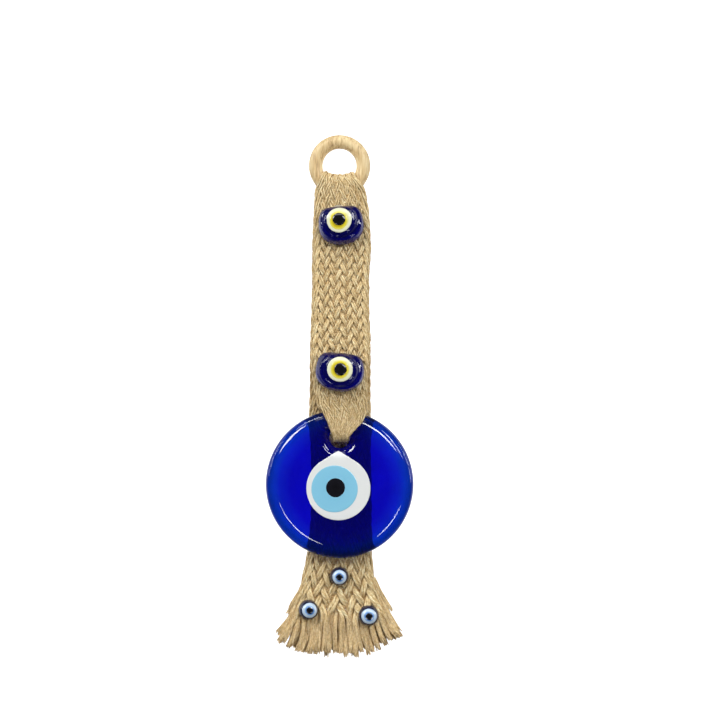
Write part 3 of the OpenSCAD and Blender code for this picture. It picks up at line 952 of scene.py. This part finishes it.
# Folds round the eye, in mound radii: how far out, how high, and where they run off centre
FOLDS = [(1.06, 0.34, 0.4), (1.30, 0.26, 2.6), (1.52, 0.18, 4.4)]


def make_bead(tag, body, glass_mat, centre, lean, size, eye_at, white_r, yellow, pupil):
    """A pressed glass bead: flat top with round corners, round below, and a mound under its eye.

    size is half its width and its reach above and below its centre; yellow and pupil are x, z and radius.
    """
    half_w, up, down = size
    lean = math.radians(lean)

    def outline(a):
        sx, cz = np.sin(a), np.cos(a)
        low = np.where(cz < 0, down, up + 2.6)
        round_ = 1 / ((np.abs(sx) / half_w) ** 2.25 + (np.abs(cz) / low) ** 2.25) ** (1 / 2.25)
        top = np.where(cz > 0.02, up / np.maximum(cz, 0.02), 1e3)
        return (round_ ** -9 + top ** -9) ** (-1 / 9)

    def surface(x, z):
        lx, lz = rotated(x, z, centre, lean)
        r = np.hypot(lx, lz)
        a = np.arctan2(lx, lz)
        q = np.clip(r / outline(a), 0, 1)
        dome = BEAD_HEIGHT * (1 - q ** 3.3) ** (1 / 2.2)
        mx, mz = rotated(x, z, eye_at, lean)
        e = np.hypot(mx / MOUND_X, mz / MOUND_Z)
        keep = np.clip(dome / BEAD_HEIGHT * 1.6, 0, 1)
        ridges = sum(h * np.exp(-((e + 0.09 * np.sin(a + p) - at) / 0.075) ** 2) for at, h, p in FOLDS)
        return BEAD_Y - dome * 0.90 - (MOUND_RISE * (1 - smoothstep(0.80, 1.18, e)) + ridges) * keep

    def ring_at(scale):
        lx, lz = R * scale * np.sin(a), R * scale * np.cos(a)
        return (centre[0] + lx * math.cos(lean) - lz * math.sin(lean),
                centre[1] + lx * math.sin(lean) + lz * math.cos(lean))

    cols, rows = 160, 64
    a = np.linspace(0, math.tau, cols, endpoint=False)
    R = outline(a)
    verts, us = [], []
    for q in [math.sin(v * math.pi / 2) ** 0.9 for v in np.linspace(0, 1, rows)[1:]]:
        x, z = ring_at(q)
        verts.append(np.stack([x, surface(x, z), z], 1))
        us.append(q)
    for shrink, depth in ((0.985, 0.35), (0.93, 0.75), (0.80, 0.95)):
        x, z = ring_at(shrink)
        verts.append(np.stack([x, np.full(cols, BEAD_Y + depth), z], 1))
        us.append(1.0)
    middle = surface(np.array([centre[0]]), np.array([centre[1]]))[0]
    front, back = (centre[0], middle, centre[1]), (centre[0], BEAD_Y + 1.0, centre[1])
    glass = dome_object(f"{tag}_glass", verts, us, front, back, glass_mat)
    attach(glass, body)
    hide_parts(f"{tag}_body")
    eye_layer(f"{tag}_cream", CREAM, eye_at, round_outline(white_r, 0.012, centre[1]), surface, 0.10, 0.9,
              body, f"{tag}_white")
    eye_layer(f"{tag}_gold", YELLOW, yellow[:2], round_outline(yellow[2] - 0.3, 0.015, 2 + centre[1]),
              raised(surface, 0.10), 0.07, 0.7, body, f"{tag}_yellow")
    eye_layer(f"{tag}_dot", BLACK, pupil[:2], round_outline(pupil[2], 0.015, 4 + centre[1]),
              raised(surface, 0.17), 0.38, 0.5, body, f"{tag}_pupil", lip=2.4)


make_bead("bead_upper", "upper", NAVY_UP, (0.7, -31.2), 5.0, (9.1, 7.5, 8.0), (0.0, -29.7), 5.0,
          (-0.3, -29.95, 3.9), (-0.1, -29.4, 2.55))
make_bead("bead_lower", "lower", NAVY_LOW, (0.15, -89.9), -6.0, (9.75, 7.4, 8.1), (0.3, -89.1), 5.05,
          (0.25, -89.2, 3.95), (0.5, -89.1, 2.5))


CHARM_Y, CHARM_HEIGHT = 5.7, 3.9


def make_charm(side, centre, r, gaze, turn):
    """A small domed eye bead; gaze moves its eye off the middle."""
    body, tag = "tail", f"charm_{side}"

    def surface(x, z):
        q = np.clip(np.hypot(x - centre[0], z - centre[1]) / r, 0, 1)
        return CHARM_Y - CHARM_HEIGHT * (1 - q ** 2.6) ** (1 / 2.2)

    eye_layer(f"{tag}_navy", CHARM_NAVY, centre, round_outline(r, 0.01, turn), surface, 0.02,
              CHARM_HEIGHT * 0.4, body, f"{tag}_body", cols=96, rows=26, lip=0.05)
    e = (centre[0] + gaze[0], centre[1] + gaze[1])
    eye_layer(f"{tag}_pale", CHARM_WHITE, e, round_outline(r * 0.74, 0.012, turn + 1), surface, 0.09, 0.7,
              body, f"{tag}_white", cols=80, rows=12)
    e2 = (e[0] + gaze[0] * 0.25, e[1] + gaze[1] * 0.25 - 0.03)
    eye_layer(f"{tag}_halo", CHARM_BLUE, e2, round_outline(r * 0.47, 0.02, turn + 2), raised(surface, 0.09),
              0.05, 0.6, body, f"{tag}_blue", cols=64, rows=10)
    eye_layer(f"{tag}_dot", BLACK, e2, round_outline(r * 0.335, 0.02, turn + 3), raised(surface, 0.14),
              0.12, 0.5, body, f"{tag}_pupil", cols=64, rows=10, lip=0.5)


make_charm("centre", (-0.2, -173.7), 3.9, (0.1, 0.05), 0.3)
make_charm("left", (-12.8, -187.4), 4.1, (0.55, 0.2), 1.7)
make_charm("right", (11.8, -189.7), 4.25, (0.15, 0.1), 2.9)

for name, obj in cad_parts.items():
    if name.startswith("glue_"):
        obj.data.materials.clear()
        obj.data.materials.append(GLUE)

# ---------------------------------------------------------------- stage, light and camera


def stage_material(name):
    """White paper that glows a little on the far side; near the camera it does so only to the camera."""
    m, nt, bsdf = new_material(name)
    bsdf.inputs["Roughness"].default_value = 0.9
    bsdf.inputs["Specular IOR Level"].default_value = 0.0
    bsdf.inputs["Emission Color"].default_value = (1, 1, 1, 1)
    place = nt.nodes.new("ShaderNodeTexCoord")
    sep = nt.nodes.new("ShaderNodeSeparateXYZ")
    nt.links.new(place.outputs["Object"], sep.inputs["Vector"])
    far = node(nt, "ShaderNodeMapRange")
    nt.links.new(sep.outputs["Y"], far.inputs["Value"])
    far.inputs["From Min"].default_value = 0.0
    far.inputs["From Max"].default_value = 0.9
    paper = ramp(nt, far.outputs["Result"], [(0.0, (0.10, 0.10, 0.10)), (1.0, (0.82, 0.82, 0.82))])
    nt.links.new(paper, bsdf.inputs["Base Color"])
    seen = nt.nodes.new("ShaderNodeLightPath")
    near_glow = maths(nt, "MULTIPLY", seen.outputs["Is Camera Ray"], 0.90)
    far_glow = maths(nt, "MULTIPLY", far.outputs["Result"], 0.84)
    nt.links.new(maths(nt, "MAXIMUM", near_glow, far_glow), bsdf.inputs["Emission Strength"])
    return m


def build_cove():
    """A pale floor that sweeps up into a pale wall all the way round."""
    floor_z, wall_r, bend, top, cols = -0.95, 2.3, 1.1, 2.4, 128
    profile = [(0.3, floor_z), (wall_r - bend, floor_z)]
    for i in range(1, 21):
        a = math.pi / 2 * i / 20
        profile.append((wall_r - bend + bend * math.sin(a), floor_z + bend - bend * math.cos(a)))
    profile.append((wall_r, top))
    verts = [(0, 0, floor_z / MM)]
    for r, z in profile:
        verts += [(r * math.sin(math.tau * i / cols) / MM, r * math.cos(math.tau * i / cols) / MM, z / MM)
                  for i in range(cols)]
    faces = [(0, 1 + (i + 1) % cols, 1 + i) for i in range(cols)]
    for j in range(len(profile) - 1):
        for i in range(cols):
            k = (i + 1) % cols
            faces.append((1 + j * cols + i, 1 + j * cols + k, 1 + (j + 1) * cols + k, 1 + (j + 1) * cols + i))
    mesh_object("cove", verts, faces, None, stage_material("cove_white"))


build_cove()


def area_light(name, at, towards, size, power, across=(1, 0, 0)):
    """A rectangular softbox; its width runs along the direction "across"."""
    data = bpy.data.lights.new(name, "AREA")
    data.shape = "RECTANGLE"
    data.size, data.size_y = size
    data.energy = power
    data.spread = math.radians(70)
    o = bpy.data.objects.new(name, data)
    bpy.context.scene.collection.objects.link(o)
    z = (Vector(at) - Vector(towards)).normalized()
    y = z.cross(Vector(across)).normalized()
    x = y.cross(z)
    o.matrix_world = Matrix.Translation(at) @ Matrix((x, y, z)).transposed().to_4x4()
    return o


RIM_LIGHTS_FROM = 0.95    # from the disc's middle, in metres


def rim_light(name, azimuth, off_axis, size, power):
    """A softbox around the disc's axis whose long side lies along the disc's rim."""
    a, t = math.radians(azimuth), math.radians(off_axis)
    target = Vector((0, 0, DISC_Z * MM))
    at = target + RIM_LIGHTS_FROM * Vector((math.sin(t) * math.cos(a), -math.cos(t), math.sin(t) * math.sin(a)))
    o = area_light(name, at, target, size, power, across=(-math.sin(a), 0, math.cos(a)))
    o.data.shape = "ELLIPSE"


rim_light("softbox_ul", 140, 49, (0.46, 0.15), 0.52)
rim_light("strip_ul", 116, 66, (0.50, 0.06), 0.20)
rim_light("softbox_ur", 50, 36, (0.52, 0.12), 0.42)
rim_light("strip_ur", 34, 52, (0.42, 0.07), 0.22)
rim_light("softbox_ll", -130, 29, (0.46, 0.05), 0.12)
rim_light("softbox_lr", -43, 35, (0.34, 0.045), 0.10)
rim_light("side_left", 160, 82, (0.62, 0.05), 0.26)
rim_light("side_right", 15, 80, (0.62, 0.06), 0.26)
area_light("overhead", (0.0, -0.75, 1.0), (0.0, 0.0, -0.10), (0.9, 0.5), 0.66)
area_light("wall_wash", (0.0, 0.2, 1.5), (0.0, 1.35, 0.0), (2.0, 0.5), 2.0)

world = bpy.data.worlds.new("studio")
bpy.context.scene.world = world
world.use_nodes = True
wn = world.node_tree
wn.nodes.clear()
w_out = wn.nodes.new("ShaderNodeOutputWorld")
w_bg = wn.nodes.new("ShaderNodeBackground")
w_bg.inputs["Color"].default_value = (1, 1, 1, 1)
w_seen = wn.nodes.new("ShaderNodeLightPath")
w_level = wn.nodes.new("ShaderNodeMapRange")
w_level.inputs["To Min"].default_value = 0.10
w_level.inputs["To Max"].default_value = 0.95
wn.links.new(w_seen.outputs["Is Camera Ray"], w_level.inputs["Value"])
wn.links.new(w_level.outputs["Result"], w_bg.inputs["Strength"])
wn.links.new(w_bg.outputs[0], w_out.inputs["Surface"])

scene = bpy.context.scene
scene.view_settings.view_transform = "Standard"

# Lens and sensor in mm, the width seen at the front of the object, and where the middle of the view falls
FOCAL, SENSOR, VIEW_W = 85.0, 36.0, 290.3
VIEW_X, VIEW_Y, VIEW_Z = 8.27, -3.0, -85.4
cam_data = bpy.data.cameras.new("camera")
cam_data.lens = FOCAL
cam_data.sensor_width = SENSOR
cam_data.clip_start, cam_data.clip_end = 0.01, 20
cam = bpy.data.objects.new("camera", cam_data)
scene.collection.objects.link(cam)
cam.location = (VIEW_X * MM, (VIEW_Y - VIEW_W * FOCAL / SENSOR) * MM, VIEW_Z * MM)
cam.rotation_euler = (math.pi / 2, 0, 0)
scene.camera = cam
